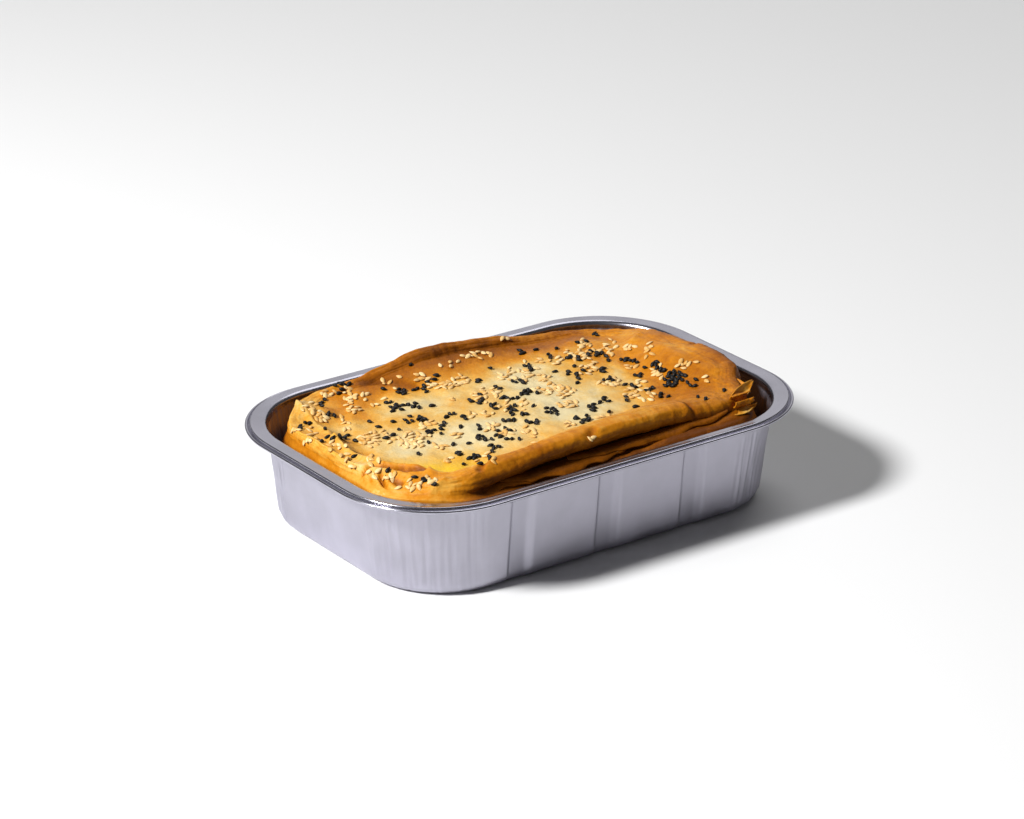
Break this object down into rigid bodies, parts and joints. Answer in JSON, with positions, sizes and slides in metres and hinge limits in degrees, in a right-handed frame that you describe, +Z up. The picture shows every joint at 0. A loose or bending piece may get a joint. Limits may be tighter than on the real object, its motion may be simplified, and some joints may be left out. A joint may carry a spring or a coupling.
{
  "type": "spanakopita",
  "caption": "Whole uncut spinach and cheese filo pie in its own foil tray: a rolled browned edge round a shallow seeded dish, with loose flakes at one corner.",
  "frame": {"origin": "middle of the tray's flat underside, on the table", "axes": "+X along the long side, towards the end with the loose flakes; -Y towards the long side that the picture looks at; +Z up"},
  "size_m": [0.222, 0.148, 0.0543],
  "materials": {
    "foil": "satin rolled foil",
    "crust": "baked filo, cream in the dish and golden brown at the edge, lightly oiled",
    "sesame": "pale glossy seed",
    "nigella": "black seed"
  },
  "bodies": {
    "root": {"foil_tray": "foil", "spanakopita": "crust"}
  },
  "joints": []
}
